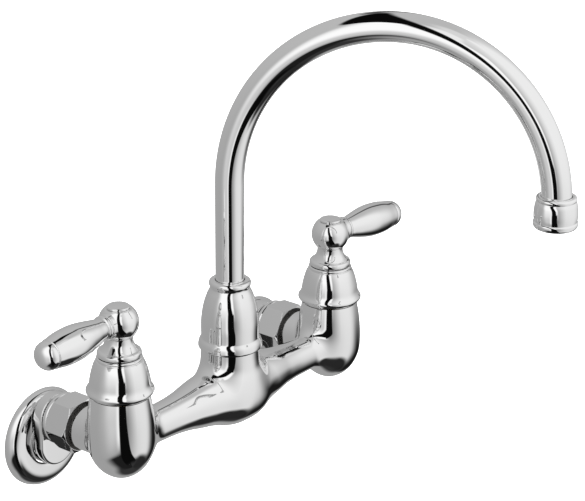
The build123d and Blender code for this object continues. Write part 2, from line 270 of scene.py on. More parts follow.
# ===========================================================================
# signed distance fields for the casting
# ===========================================================================
class Turned:
    """Signed distance of a turned body from a table over (r, z)."""

    def __init__(self, segs, rmax, zmin, zmax, step=0.25):
        line = outline(segs, 0.05)
        pts, _ = thin(line, False, 1.2, 0.8)
        r = np.arange(0, rmax + step, step)
        z = np.arange(zmin, zmax + step, step)
        R, Z = np.meshgrid(r, z, indexing="ij")
        P = np.stack([R.ravel(), Z.ravel()], 1)
        best = np.full(len(P), 1e9)
        inside = np.zeros(len(P), bool)
        for a, b in zip(pts[:-1], pts[1:]):
            ab = b - a
            L2 = ab @ ab
            if L2 < 1e-12:
                continue
            ap = P - a
            t = np.clip((ap @ ab) / L2, 0, 1)
            d = ap - t[:, None] * ab
            best = np.minimum(best, np.einsum("ij,ij->i", d, d))
        # closed along the axis for the inside test
        poly = np.vstack([pts, [[-1.0, pts[-1, 1]], [-1.0, pts[0, 1]]]])
        x, y = P[:, 0], P[:, 1]
        for (x0, y0), (x1, y1) in zip(poly, np.roll(poly, -1, axis=0)):
            if y0 == y1:
                continue
            hit = ((y0 > y) != (y1 > y)) & (x < (x1 - x0) * (y - y0) / (y1 - y0) + x0)
            inside ^= hit
        d = np.sqrt(best)
        d[inside] *= -1
        self.t = d.reshape(R.shape)
        self.z0, self.step = zmin, step

    def __call__(self, r, z):
        n, m = self.t.shape
        u = np.clip(r / self.step, 0, n - 1.001)
        v = np.clip((z - self.z0) / self.step, 0, m - 1.001)
        i, j = u.astype(int), v.astype(int)
        fu, fv = u - i, v - j
        t = self.t
        return (t[i, j] * (1 - fu) * (1 - fv) + t[i + 1, j] * fu * (1 - fv)
                + t[i, j + 1] * (1 - fu) * fv + t[i + 1, j + 1] * fu * fv)


def smin(a, b, k):
    h = np.maximum(k - np.abs(a - b), 0) / k
    return np.minimum(a, b) - h * h * k * 0.25


def surface_net(f, lo, hi, h):
    """Quad mesh of f = 0 on a regular grid, its points moved onto the surface."""
    ax = [np.arange(a, b + h, h) for a, b in zip(lo, hi)]
    X, Y, Z = np.meshgrid(*ax, indexing="ij")
    shape = X.shape
    V = np.empty(shape)
    flat = V.reshape(-1)
    P = np.stack([X.ravel(), Y.ravel(), Z.ravel()], 1)
    for i in range(0, len(P), 400000):
        flat[i:i + 400000] = f(P[i:i + 400000])
    S = V < 0
    cells = tuple(n - 1 for n in shape)
    count = np.zeros(cells)
    acc = np.zeros(cells + (3,))
    corner = [(0, 0, 0), (1, 0, 0), (0, 1, 0), (1, 1, 0), (0, 0, 1), (1, 0, 1), (0, 1, 1), (1, 1, 1)]

    def at(A, c):
        return A[c[0]:c[0] + cells[0], c[1]:c[1] + cells[1], c[2]:c[2] + cells[2]]

    for a in range(8):
        for b in range(a + 1, 8):
            ca, cb = corner[a], corner[b]
            diff = [cb[i] - ca[i] for i in range(3)]
            if sum(abs(x) for x in diff) != 1:
                continue
            va, vb = at(V, ca), at(V, cb)
            cross = at(S, ca) != at(S, cb)
            t = np.where(cross, va / np.where(cross, va - vb, 1), 0)
            for i in range(3):
                acc[..., i] += np.where(cross, ca[i] + t * diff[i], 0)
            count += cross
    live = count > 0
    index = -np.ones(cells, int)
    index[live] = np.arange(live.sum())
    base = np.argwhere(live)
    pts = np.array(lo) + h * (base + acc[live] / count[live][:, None])
    faces = []
    for axis in range(3):
        sl0 = [slice(None)] * 3
        sl1 = [slice(None)] * 3
        sl0[axis] = slice(0, -1)
        sl1[axis] = slice(1, None)
        cross = S[tuple(sl0)] != S[tuple(sl1)]
        neg = S[tuple(sl0)]
        o1, o2 = [i for i in range(3) if i != axis]
        e = np.argwhere(cross)
        ok = (e[:, o1] > 0) & (e[:, o2] > 0) & (e[:, o1] < shape[o1] - 1) & (e[:, o2] < shape[o2] - 1)
        e = e[ok]
        quad = []
        for d1, d2 in ((0, 0), (1, 0), (1, 1), (0, 1)):
            c = e.copy()
            c[:, o1] -= d1
            c[:, o2] -= d2
            quad.append(index[c[:, 0], c[:, 1], c[:, 2]])
        q = np.stack(quad, 1)
        flip = neg[e[:, 0], e[:, 1], e[:, 2]]
        if axis == 1:
            flip = ~flip
        q[~flip] = q[~flip][:, ::-1]
        faces.append(q)
    return pts, np.vstack(faces)


def gradient(f, p, e=0.5):
    g = np.empty_like(p)
    for i in range(3):
        d = np.zeros(3)
        d[i] = e
        g[:, i] = (f(p + d) - f(p - d)) / (2 * e)
    return g


def onto(f, p, steps=3):
    for _ in range(steps):
        g = gradient(f, p)
        n2 = np.maximum((g * g).sum(1), 1e-9)
        step = np.clip(f(p) / n2, -0.6, 0.6)
        p = p - g * step[:, None]
    return p


# ===========================================================================
# materials
# ===========================================================================
def node_mat(name):
    m = bpy.data.materials.new(name)
    m.use_nodes = True
    nt = m.node_tree
    nt.nodes.clear()
    out = nt.nodes.new("ShaderNodeOutputMaterial")
    b = nt.nodes.new("ShaderNodeBsdfPrincipled")
    nt.links.new(b.outputs[0], out.inputs[0])
    return m, nt, b


def noise(nt, scale, detail=4, rough=0.5, vec=None):
    n = nt.nodes.new("ShaderNodeTexNoise")
    n.inputs["Scale"].default_value = scale
    n.inputs["Detail"].default_value = detail
    n.inputs["Roughness"].default_value = rough
    if vec is not None:
        nt.links.new(vec, n.inputs["Vector"])
    return n


def remap(nt, value, a, b, c, d):
    m = nt.nodes.new("ShaderNodeMapRange")
    m.inputs["From Min"].default_value = a
    m.inputs["From Max"].default_value = b
    m.inputs["To Min"].default_value = c
    m.inputs["To Max"].default_value = d
    nt.links.new(value, m.inputs["Value"])
    return m.outputs["Result"]


def chrome(name, tint=(0.885, 0.885, 0.885), rough=0.03):
    m, nt, b = node_mat(name)
    tc = nt.nodes.new("ShaderNodeTexCoord")
    obj = tc.outputs["Object"]
    b.inputs["Metallic"].default_value = 1.0
    # faint buffing haze in the plate
    haze = noise(nt, 90, 5, 0.6, obj)
    r = remap(nt, haze.outputs["Fac"], 0.3, 0.75, rough * 0.7, rough * 1.6)
    nt.links.new(r, b.inputs["Roughness"])
    # slight change of tone over the plate
    tone = noise(nt, 22, 3, 0.5, obj)
    ramp = nt.nodes.new("ShaderNodeMix")
    ramp.data_type = "RGBA"
    ramp.inputs["A"].default_value = (*tint, 1)
    ramp.inputs["B"].default_value = (tint[0] * 0.97, tint[1] * 0.97, tint[2] * 0.97, 1)
    nt.links.new(tone.outputs["Fac"], ramp.inputs["Factor"])
    nt.links.new(ramp.outputs["Result"], b.inputs["Base Color"])
    # polishing waves, far finer than they are long
    fine = noise(nt, 260, 2, 0.5, obj)
    bump = nt.nodes.new("ShaderNodeBump")
    bump.inputs["Strength"].default_value = 0.02
    bump.inputs["Distance"].default_value = 0.0002
    nt.links.new(fine.outputs["Fac"], bump.inputs["Height"])
    nt.links.new(bump.outputs["Normal"], b.inputs["Normal"])
    return m


def plain(name, colour, rough, metallic=0.0, var=0.06, scale=120, bump=0.15, coat=0.0):
    m, nt, b = node_mat(name)
    tc = nt.nodes.new("ShaderNodeTexCoord")
    obj = tc.outputs["Object"]
    b.inputs["Metallic"].default_value = metallic
    if coat:
        b.inputs["Coat Weight"].default_value = coat
    n = noise(nt, scale, 4, 0.6, obj)
    mix = nt.nodes.new("ShaderNodeMix")
    mix.data_type = "RGBA"
    mix.inputs["A"].default_value = (*[c * (1 - var) for c in colour], 1)
    mix.inputs["B"].default_value = (*[min(1, c * (1 + var)) for c in colour], 1)
    nt.links.new(n.outputs["Fac"], mix.inputs["Factor"])
    nt.links.new(mix.outputs["Result"], b.inputs["Base Color"])
    nt.links.new(remap(nt, n.outputs["Fac"], 0.3, 0.7, rough * 0.8, min(1, rough * 1.2)), b.inputs["Roughness"])
    g = noise(nt, scale * 8, 3, 0.6, obj)
    bp = nt.nodes.new("ShaderNodeBump")
    bp.inputs["Strength"].default_value = bump
    bp.inputs["Distance"].default_value = 0.0001
    nt.links.new(g.outputs["Fac"], bp.inputs["Height"])
    nt.links.new(bp.outputs["Normal"], b.inputs["Normal"])
    return m


CHROME = chrome("chrome_plate")
BRASS = plain("machined_brass", (0.72, 0.53, 0.25), 0.32, 1.0, 0.08, 160, 0.2)
CERAMIC = plain("lapped_ceramic", (0.9, 0.89, 0.85), 0.18, 0.0, 0.03, 90, 0.05)
RUBBER = plain("black_rubber", (0.03, 0.03, 0.032), 0.6, 0.0, 0.2, 200, 0.3)
PLASTIC = plain("white_acetal", (0.86, 0.86, 0.83), 0.42, 0.0, 0.03, 110, 0.15)
# near-black material for the union nuts' end faces and bores: painted shade, not the metal's own colour
BORE_SHADE = plain("painted_shade_bore", (0.045, 0.043, 0.04), 0.38, 0.6, 0.25, 140, 0.3)
STEEL = plain("stainless_steel", (0.56, 0.57, 0.58), 0.28, 1.0, 0.06, 300, 0.25)
BY_SLOT = {"chrome": CHROME, "brass": BRASS, "ceramic": CERAMIC, "rubber": RUBBER, "plastic": PLASTIC, "steel": STEEL}
for part in REC["subparts"]:
    node = frame["nodes"][part["node"]]
    node.data.materials.clear()
    node.data.materials.append(BY_SLOT[part["material_slot"]])

# ===========================================================================
# the casting: cups, bridge arms, hub, neck and inlet tails
# ===========================================================================
CUP = [
    [(0, -58.2), (3.2, -57.8), (6.6, -56.6), (9.5, -55.0), (12.3, -52.9), (15.1, -50.0), (17.6, -46.2),
     (19.5, -42.0), (20.7, -37.5), (21.2, -32.0), (21.2, -26.0), (20.9, -20.0), (20.3, -14.0), (19.4, -8.2),
     (18.4, -3.0), (17.5, 1.0)],
    [(17.5, 1.0), (0, 1.0)],
]
ARMS = [
    [(0, -98), (11.5, -98)],
    [(11.5, -98), (11.5, -80), (11.55, -72), (11.75, -64), (12.1, -57), (12.8, -50), (13.5, -45), (14.5, -40),
     (15.7, -34), (17.0, -26), (17.9, -16), (18.2, 0), (17.9, 16), (17.0, 26), (15.7, 34), (14.5, 40), (13.5, 45),
     (12.8, 50), (12.1, 57), (11.75, 64), (11.55, 72), (11.5, 80), (11.5, 98)],
    [(11.5, 98), (0, 98)],
]
BELLY = [
    [(0, -34.0), (7.6, -32.5), (11.6, -27.5), (15.3, -21.0), (18.8, -13.0), (20.1, -6.0), (20.3, 0),
     (20.1, 6.0), (18.8, 13.0), (15.3, 21.0), (11.6, 27.5), (7.6, 32.5), (0, 34.0)],
]
NECK = [
    [(0, -34.0), (17.0, -34.0)],
    [(17.0, -34.0), (19.6, -27.0), (20.3, -20.0), (19.75, -16.0), (19.3, -12.0), (19.1, -9.0), (19.05, -3.9),
     (19.05, 1.0)],
    [(19.05, 1.0), (0, 1.0)],
]
cup_f = Turned(CUP, 34, -70, 14)
arm_f = Turned(ARMS, 34, -112, 112)
belly_f = Turned(BELLY, 40, -48, 48)
neck_f = Turned(NECK, 34, -48, 12)


def casting(p):
    x, y, z = p.T
    zc = z - SEAT_Z
    arm = arm_f(np.hypot(y - VALVE_Y, z - BRIDGE_Z), x)
    bel = belly_f(np.hypot(y - VALVE_Y + 2.5, z - ARM_Z + 1.0), x)
    nk = neck_f(np.hypot(x, y - VALVE_Y), zc)
    hub = smin(smin(arm, bel, 3.5), nk, 7.0)
    ax = np.abs(x) - HALF
    cup = cup_f(np.hypot(ax, y - VALVE_Y), zc)
    # the tail: a round bar from the cup towards the wall
    tail = np.maximum(np.hypot(ax, z - ARM_Z) - 14.5, VALVE_Y - y)
    cup = smin(cup, tail, 3.0)
    return smin(hub, cup, 9.0)


STEP = 1.0
pts, quads = surface_net(casting, (-126.5, -97.5, -10.5), (126.5, -38.5, 55.0), STEP)
pts = onto(casting, pts)
raw = make_mesh("casting_raw", pts, quads)
bm = bmesh.new()
bm.from_mesh(raw)
bpy.data.meshes.remove(raw)


def trim(inside, co, no):
    """Cuts away what lies on the normal's side, within part of the mesh."""
    faces = [f for f in bm.faces if inside(f.calc_center_median())]
    geom = set(faces)
    for f in faces:
        geom.update(f.verts)
        geom.update(f.edges)
    bmesh.ops.bisect_plane(bm, geom=list(geom), plane_co=co, plane_no=no, clear_outer=True, dist=1e-4)


trim(lambda c: abs(c.x) < 45 and c.z > 38, (0, 0, SEAT_Z - 3.9), (0, 0, 1))
trim(lambda c: abs(c.x) > 60 and c.z > 35, (0, 0, SEAT_Z - 3.0), (0, 0, 1))
trim(lambda c: abs(c.x) > 60 and c.y > -50, (0, -42.3, 0), (0, 1, 0))
loose = [v for v in bm.verts if not v.link_faces]
bmesh.ops.delete(bm, geom=loose, context="VERTS")
bmesh.ops.triangulate(bm, faces=[f for f in bm.faces if len(f.verts) > 4])
bm.verts.index_update()
v = np.array([x.co[:] for x in bm.verts])
fc = np.array([[x.index for x in f.verts] + [f.verts[-1].index] * (4 - len(f.verts)) for f in bm.faces])
bm.free()
g = gradient(casting, v)
shells = [(v, g, fc)]
# rims, wells and spigots that the other pieces cover
NECK_TOP = [[(19.05, -3.9), (15.0, -3.9)], [(15.0, -3.9), (15.0, 12.0)], [(15.0, 12.0), (12.5, 12.0)],
            [(12.5, 12.0), (12.5, -27.0)], [(12.5, -27.0), (0, -27.0)]]
shells.append(lathe(NECK_TOP, T(0, VALVE_Y, SEAT_Z), soft=0.1, segs=128))
WELL = [[(18.4, -3.0), (16.0, -3.0)], [(16.0, -3.0), (16.0, -10.0)], [(16.0, -10.0), (13.0, -10.0)],
        [(13.0, -10.0), (13.0, -38.0)], [(13.0, -38.0), (0, -38.0)]]
TAIL = [[(14.5, 42.3), (13.2, 42.3)], [(13.2, 42.3), (13.2, 27.0)], [(13.2, 27.0), (8.0, 27.0)],
        [(8.0, 27.0), (8.0, 50.0)], [(8.0, 50.0), (0, 50.0)]]
for s in (-1, 1):
    shells.append(lathe(WELL, T(s * HALF, VALVE_Y, SEAT_Z), soft=0.1, segs=128))
    w = lathe(TAIL, T(s * HALF, 0, ARM_Z) @ TO_WALL, soft=0.1, segs=128)
    shells.append((w[0], -w[1], w[2]))
put("casting", shells, "faucet_body", ["body_casting"], CHROME)

# ===========================================================================
# spout
# ===========================================================================
NUT = [
    [(15.06, -3.6), (19.1, -3.6)],
    [(19.1, -3.6), (19.9, -3.35), (20.5, -2.8), (20.7, -2.0), (20.6, -0.8), (20.35, 0.5), (19.95, 1.7), (19.45, 2.6),
     (18.95, 3.4), (18.75, 3.9)],
    [(18.75, 3.9), (18.75, 6.0), (18.8, 10.0), (18.75, 14.0), (18.4, 18.0), (17.85, 22.0), (17.25, 25.0),
     (16.5, 28.0), (15.5, 31.0), (14.3, 34.0), (13.3, 36.0), (12.8, 37.3)],
    [(12.8, 37.3), (13.0, 38.2), (13.5, 39.4), (13.55, 40.7), (12.9, 42.0), (11.5, 42.6)],
    [(11.5, 42.6), (9.6, 42.6)],
    [(9.6, 42.6), (9.6, 18.5)],
    [(9.6, 18.5), (14.8, 18.5)],
    [(14.8, 18.5), (14.8, 12.8)],
    [(14.8, 12.8), (15.06, 12.5)],
    [(15.06, 12.5), (15.06, -3.6)],
]
put("barrel_nut", [lathe(NUT, T(0, VALVE_Y, SEAT_Z), closed=True, soft=0.16, segs=192)], "faucet_body",
    ["spout_nut"], CHROME)

z1 = RISE_Z - SEAT_Z
zc = z1 + ARCH_R1 - ARCH_R2
ze = zc - TIP_DROP


def arch_path():
    """Centreline in the spout's own plane: (reach, height) and the tangent's angle from upright."""
    out = []
    for z in np.linspace(-24.0, z1, 40)[:-1]:
        out.append((0.0, z, 0.0))
    for a in np.radians(np.linspace(0, 90, 73))[:-1]:
        out.append((ARCH_R1 * (1 - math.cos(a)), z1 + ARCH_R1 * math.sin(a), a))
    for a in np.radians(np.linspace(90, 180, 73)):
        out.append((ARCH_R1 - ARCH_R2 * math.cos(a), zc + ARCH_R2 * math.sin(a), a))
    for z in np.linspace(zc, ze, 4)[1:]:
        out.append((ARCH_R1 + ARCH_R2, z, math.pi))
    return out


SPOUT = T(0, VALVE_Y, SEAT_Z) @ RZ(SWIVEL)


def tube_shell(radius, flip, segs=128):
    path = arch_path()
    th = np.arange(segs) * 2 * math.pi / segs
    v, n = [], []
    for s_, z_, a in path:
        # across the plane is X, in the plane is the tangent turned by a quarter
        side = np.array([1.0, 0, 0])
        up = np.array([0, -math.cos(a), -math.sin(a)])
        d = np.cos(th)[:, None] * side + np.sin(th)[:, None] * up
        v.append(np.array([0, -s_, z_]) + radius * d)
        n.append(-d if flip else d)
    v, n = np.vstack(v), np.vstack(n)
    v, n = moved(SPOUT, v, n)
    return v, n, grid_faces(len(path), segs)


ends = [lathe([[(TUBE_R - TUBE_WALL, -24.0), (TUBE_R, -24.0)]], SPOUT, segs=128),
        lathe([[(TUBE_R - TUBE_WALL, ze), (TUBE_R, ze)]], SPOUT @ T(0, -ARCH_R1 - ARCH_R2, 0), segs=128)]
ends[0] = (ends[0][0], np.tile([0, 0, -1.0], (len(ends[0][0]), 1)), ends[0][2])
ends[1] = (ends[1][0], np.tile([0, 0, -1.0], (len(ends[1][0]), 1)), ends[1][2])
put("gooseneck", [tube_shell(TUBE_R, False), tube_shell(TUBE_R - TUBE_WALL, True, 64)] + ends, "spout",
    ["spout_tube"], CHROME)

HOUSING = [
    [(9.5, ze + 9.4), (10.7, ze + 9.5)],
    [(10.7, ze + 9.5), (11.8, ze + 9.1), (12.35, ze + 8.2), (12.25, ze + 7.2), (11.9, ze + 6.6)],
    [(11.9, ze + 6.6), (12.5, ze + 5.2), (13.0, ze + 2.6), (13.35, ze - 1.0), (13.3, ze - 3.8), (13.0, ze - 6.0)],
    [(13.0, ze - 6.0), (13.45, ze - 6.5), (13.6, ze - 7.6), (13.4, ze - 8.8), (12.8, ze - 9.8), (12.1, ze - 10.3)],
    [(12.1, ze - 10.3), (11.0, ze - 10.3)],
    [(11.0, ze - 10.3), (11.0, ze - 0.1)],
    [(11.0, ze - 0.1), (9.36, ze - 0.1)],
    [(9.36, ze - 0.1), (9.36, ze + 4.0)],
    [(9.36, ze + 4.0), (9.5, ze + 5.0)],
    [(9.5, ze + 5.0), (9.5, ze + 9.4)],
]
put("aerator_shell", [lathe(HOUSING, SPOUT @ T(0, -ARCH_R1 - ARCH_R2, 0), closed=True, soft=0.12, segs=160)],
    "spout", ["aerator_housing"], CHROME)

# ===========================================================================
# valves
# ===========================================================================
BONNET = [
    [(16.7, -2.7), (18.2, -2.7)],
    [(18.2, -2.7), (19.3, -2.1), (20.4, -1.0), (21.15, 0.3), (21.1, 1.2), (20.3, 2.5), (19.5, 4.0),
     (19.05, 5.6), (18.75, 7.5), (18.3, 10.0), (17.6, 13.0), (16.75, 16.0), (15.6, 19.0), (14.75, 20.7)],
    [(14.75, 20.7), (14.05, 20.9)],
    [(14.05, 20.9), (14.35, 21.5), (14.3, 22.4), (13.6, 23.0)],
    [(13.6, 23.0), (6.8, 23.0)],
    [(6.8, 23.0), (6.8, 20.3)],
    [(6.8, 20.3), (11.3, 20.3)],
    [(11.3, 20.3), (11.3, 14.5)],
    [(11.3, 14.5), (10.95, 14.5)],
    [(10.95, 14.5), (10.95, 8.0)],
    [(10.95, 8.0), (14.5, 8.0)],
    [(14.5, 8.0), (16.7, 4.0)],
    [(16.7, 4.0), (16.7, -2.7)],
]
SKIRT = [
    [(11.2, 26.0), (11.2, 23.3)],
    [(11.2, 23.3), (13.2, 23.3)],
    [(13.2, 23.3), (13.75, 24.0), (13.85, 25.2), (13.5, 26.4), (12.7, 27.1)],
    [(12.7, 27.1), (11.9, 27.3)],
    [(11.9, 27.3), (10.8, 28.5), (9.8, 30.0), (9.05, 31.6), (8.7, 33.2), (8.6, 34.6), (8.7, 36.0)],
]
top = math.sqrt(BALL_R ** 2 - (BALL_FLAT - BALL_Z) ** 2)
ball = [(BALL_R * math.cos(a), BALL_Z + BALL_R * math.sin(a))
        for a in np.linspace(math.asin((35.9 - BALL_Z) / BALL_R), math.asin((BALL_FLAT - BALL_Z) / BALL_R), 40)]
SKIRT.append([(8.7, 36.0), ball[0]])
SKIRT.append(ball)
SKIRT += [[ball[-1], (6.1, BALL_FLAT)], [(6.1, BALL_FLAT), (6.1, 52.8)], [(6.1, 52.8), (5.0, 52.8)],
          [(5.0, 52.8), (5.0, 26.0)], [(5.0, 26.0), (11.2, 26.0)]]
LEVER = [
    [(0, 6.5), (7.0, 6.5)],
    [(7.0, 6.5), (8.05, 8.5)],
    [(8.05, 8.5), (8.05, 12.3)],
    [(8.05, 12.3), (6.9, 12.8)],
    [(6.9, 12.8), (7.75, 13.3), (7.95, 14.1), (7.6, 14.9)],
    [(7.6, 14.9), (6.7, 15.4)],
    [(6.7, 15.4), (7.05, 16.6), (7.75, 20.0), (8.65, 24.0), (9.5, 28.2), (10.2, 32.0), (10.7, 35.5), (11.05, 40.0),
     (11.08, 43.0), (10.95, 47.5), (10.45, 52.5), (9.75, 56.6), (9.35, 59.2), (9.2, 59.8)],
    [(9.2, 59.8), (8.7, 60.1)],
    [(8.7, 60.1), (9.0, 60.6), (9.05, 61.4), (8.9, 62.6), (8.3, 64.2), (7.1, 65.9), (5.0, 67.35), (2.6, 68.0), (0, LEVER_LEN)],
]
BUTTON_TOP = [[(6.0, 52.9), (6.0, 54.08)], [(6.0, 54.08), (7.1, 54.08)],
              [(7.1, 54.08), (7.2, 55.15)],
               [(7.2, 55.15), (6.9, 55.5), (5.8, 55.7), (3.0, 55.86), (0.0, 55.9)]]

for s, side, turn in ((-1, "left", 180 + LEVER_L), (1, "right", -LEVER_R)):
    V = T(s * HALF, VALVE_Y, SEAT_Z)
    H = V @ RZ(turn)
    put("bell_" + side, [lathe(BONNET, V, closed=True, soft=0.14, segs=192)], "faucet_body", ["bonnet_" + side],
        CHROME)
    put("lever_" + side, [lathe(SKIRT, H, closed=True, soft=0.14, segs=160),
                          lathe(LEVER, H @ T(0, 0, LEVER_Z) @ RY(90 + LEVER_DROOP), soft=0.1, segs=160)],
        "handle_" + side + "_set", ["handle_" + side], CHROME)
    put("button_" + side, [lathe(BUTTON_TOP, H, soft=0.1, segs=96)], "handle_" + side + "_set",
        ["index_button_" + side], CHROME)

# ===========================================================================
# unions and flanges
# ===========================================================================
FLANGE = [
    [(30.7, 0), (32.1, 0)],
    [(32.1, 0), (32.4, 0.8), (32.3, 2.2), (31.9, 3.6), (31.2, 5.0), (30.1, 6.3), (28.7, 7.4), (27.0, 8.05), (25.0, 8.35),
     (22.0, 8.45), (19.0, 8.4), (17.4, 8.2), (16.5, 7.7)],
    [(16.5, 7.7), (16.2, 7.5)],
    [(16.2, 7.5), (16.2, 6.4)],
    [(16.2, 6.4), (25.0, 6.6)],
    [(25.0, 6.6), (28.2, 5.4)],
    [(28.2, 5.4), (30.0, 3.2)],
    [(30.0, 3.2), (30.7, 0)],
]
TRIM = [
    [(11.2, 18.0), (15.2, 18.0)],
    [(15.2, 18.0), (16.1, 18.5), (16.6, 19.4), (16.6, 20.6), (16.2, 21.6)],
    [(16.2, 21.6), (18.7, 23.8)],
    [(18.7, 23.8), (18.7, 37.2)],
    [(18.7, 37.2), (18.2, 37.5), (17.2, 38.1), (16.2, 38.6)],
    [(16.2, 38.6), (15.9, 38.6)],
]


def hex_nut(mat, turn):
    """The hexagon cut by the turned outline: a height field round the axis."""
    segs = 720
    q = outline(TRIM, 0.12)
    pts_, nor_ = thin(q, False, 4.0, 0.6)
    th = np.arange(segs) * 2 * math.pi / segs
    # distance to the hexagon's sides from the axis
    local = (th - math.radians(turn) + math.pi / 6) % (math.pi / 3) - math.pi / 6
    flat = NUT_AF / 2 / np.cos(local)
    k = 0.35
    R = pts_[:, 0][:, None]
    # the collar on the wall side stays round
    hexr = np.where(pts_[:, 1][:, None] < 21.6, 40.0, flat[None, :])
    h = np.maximum(k - np.abs(R - hexr), 0) / k
    rr = np.minimum(R, hexr) - h * h * k * 0.25
    # hex corners are softened as well
    zz = np.broadcast_to(pts_[:, 1][:, None], rr.shape)
    P = np.stack([rr * np.cos(th), rr * np.sin(th), zz], -1)
    dth = np.roll(P, -1, 1) - np.roll(P, 1, 1)
    dz = np.empty_like(P)
    dz[1:-1] = P[2:] - P[:-2]
    dz[0], dz[-1] = P[1] - P[0], P[-1] - P[-2]
    nn = np.cross(dth, dz)
    nn /= np.maximum(np.linalg.norm(nn, axis=-1), 1e-12)[..., None]
    V, N = moved(mat, P.reshape(-1, 3), nn.reshape(-1, 3))
    return V, N, grid_faces(len(pts_), segs)


# the nut's end face and bore get a near-black material: painted shade for the dark recess between nut and tail
BORE = [[(15.9, 38.6), (13.26, 38.6)], [(13.26, 38.6), (13.26, 22.1)], [(13.26, 22.1), (11.2, 22.1)], [(11.2, 22.1), (11.2, 18.0)]]
BLOCK = [
    [(0.0, 9.2), (15.0, 9.2)],
    [(15.0, 9.2), (15.0, 15.2)],
    [(15.0, 15.2), (14.65, 16.05), (13.8, 16.4)],
    [(13.8, 16.4), (0.0, 16.4)],
]


def block_shell(mat):
    segs = 144
    q = outline(BLOCK, 0.1)
    pts_, nor_ = thin(q, False, 6.0, 3.0)
    th = np.arange(segs + 1) * math.pi / segs
    angles = np.r_[th, th + math.pi]
    cz = np.r_[np.full(segs + 1, ARM_Z), np.zeros(segs + 1)]
    n = len(angles)
    V = np.stack([pts_[:, 0][:, None] * np.cos(angles), cz + pts_[:, 0][:, None] * np.sin(angles),
                  np.broadcast_to(pts_[:, 1][:, None], (len(pts_), n))], -1)
    N = np.stack([nor_[:, 0][:, None] * np.cos(angles), nor_[:, 0][:, None] * np.sin(angles),
                  np.broadcast_to(nor_[:, 1][:, None], (len(pts_), n))], -1)
    V, N = moved(mat, V.reshape(-1, 3), N.reshape(-1, 3))
    return V, N, grid_faces(len(pts_), n)


STUB = [[(11.0, 15.9), (11.0, 22.2)], [(11.0, 22.2), (12.9, 22.2)], [(12.9, 22.2), (12.9, 24.6)],
        [(12.9, 24.6), (6.5, 24.6)], [(6.5, 24.6), (6.5, 17.5)], [(6.5, 17.5), (0, 17.5)]]
REAR = [[(0, 9.0), (9.9, 9.0)], [(9.9, 9.0), (9.9, 0)], [(9.9, 0), (15.6, 0)], [(15.6, 0), (15.6, 9.4)]]

for s, side, nut_turn in ((-1, "left", 35.0), (1, "right", 30.0)):
    W = T(s * HALF, 0, 0) @ TO_WALL
    U = T(s * HALF, 0, ARM_Z) @ TO_WALL
    put("flange_" + side, [lathe(FLANGE, W, closed=True, soft=0.14, segs=224)], "faucet_body",
        ["wall_flange_" + side], CHROME)
    bore = lathe(BORE, U, soft=0.1, segs=128)
    put("hexnut_" + side, [hex_nut(U, nut_turn)], "faucet_body", ["union_nut_" + side], CHROME)
    # the bore and end face carry the near-black painted shade
    put("nut_bore_" + side, [(bore[0], -bore[1], bore[2])], "faucet_body", [], BORE_SHADE)
    put("offset_" + side, [block_shell(W), lathe(STUB, U, soft=0.1, segs=128), lathe(REAR, W, soft=0.1, segs=128)],
        "faucet_body", ["eccentric_union_" + side], CHROME)

# ===========================================================================
# camera, floor and light
# ===========================================================================
AZ, EL, ROLL, FOCAL = math.radians(50.358), math.radians(20.646), math.radians(0.387), 2217.6112
v_ = Vector((math.cos(EL) * math.sin(AZ), math.cos(EL) * math.cos(AZ), -math.sin(EL)))
r_ = Vector((math.cos(AZ), -math.sin(AZ), 0))
u_ = r_.cross(v_)
rr_ = math.cos(ROLL) * r_ + math.sin(ROLL) * u_
uu_ = -math.sin(ROLL) * r_ + math.cos(ROLL) * u_
cam_data = bpy.data.cameras.new("camera")
cam = bpy.data.objects.new("camera", cam_data)
bpy.context.scene.collection.objects.link(cam)
cam.matrix_world = Matrix(((rr_.x, uu_.x, -v_.x, -0.985646), (rr_.y, uu_.y, -v_.y, -0.939112),
                           (rr_.z, uu_.z, -v_.z, 0.608882), (0, 0, 0, 1)))
cam_data.sensor_width = 36.0
cam_data.sensor_fit = "HORIZONTAL"
cam_data.lens = FOCAL * 36.0 / 585.0
cam_data.clip_start, cam_data.clip_end = 0.05, 60
bpy.context.scene.camera = cam

# light tent: a dome that only the plate's reflections see, with the tent's panels worked out from the
# direction of each point of the dome as seen from its middle
TENT_AT, TENT_R = (0.0, -0.3, 0.0), 0.54
tent_mat = bpy.data.materials.new("light_tent")
tent_mat.use_nodes = True
wt = tent_mat.node_tree
wt.nodes.clear()


def plug(node, i, value):
    if isinstance(value, (int, float)):
        node.inputs[i].default_value = value
    else:
        wt.links.new(value, node.inputs[i])


def op(kind, *args, clamp=False):
    n = wt.nodes.new("ShaderNodeMath")
    n.operation = kind
    n.use_clamp = clamp
    for i, a_ in enumerate(args):
        plug(n, i, a_)
    return n.outputs[0]


def step(u, edge, width, v0, v1):
    n = wt.nodes.new("ShaderNodeMapRange")
    n.interpolation_type = "SMOOTHSTEP"
    plug(n, 0, u)
    n.inputs["From Min"].default_value = edge - width / 2
    n.inputs["From Max"].default_value = edge + width / 2
    n.inputs["To Min"].default_value = v0
    n.inputs["To Max"].default_value = v1
    return n.outputs[0]


def rise(u, edge, width):
    """0 to 1 as u passes the edge, softly over the width."""
    return step(u, edge, width, 0.0, 1.0)


def fall(u, edge, width):
    return step(u, edge, width, 1.0, 0.0)


def light_of(tone):
    """Light that a plate showing this 0-255 tone reflects, for plate that returns 88 percent."""
    t = tone / 255.0
    t = t / 12.92 if t <= 0.04045 else ((t + 0.055) / 1.055) ** 2.4
    return t / 0.88


def over(below, tone, amount):
    n = wt.nodes.new("ShaderNodeMix")
    n.data_type = "FLOAT"
    plug(n, 0, amount)
    if isinstance(below, (int, float)):
        n.inputs[2].default_value = below
    else:
        wt.links.new(below, n.inputs[2])
    n.inputs[3].default_value = light_of(tone)
    return n.outputs[0]


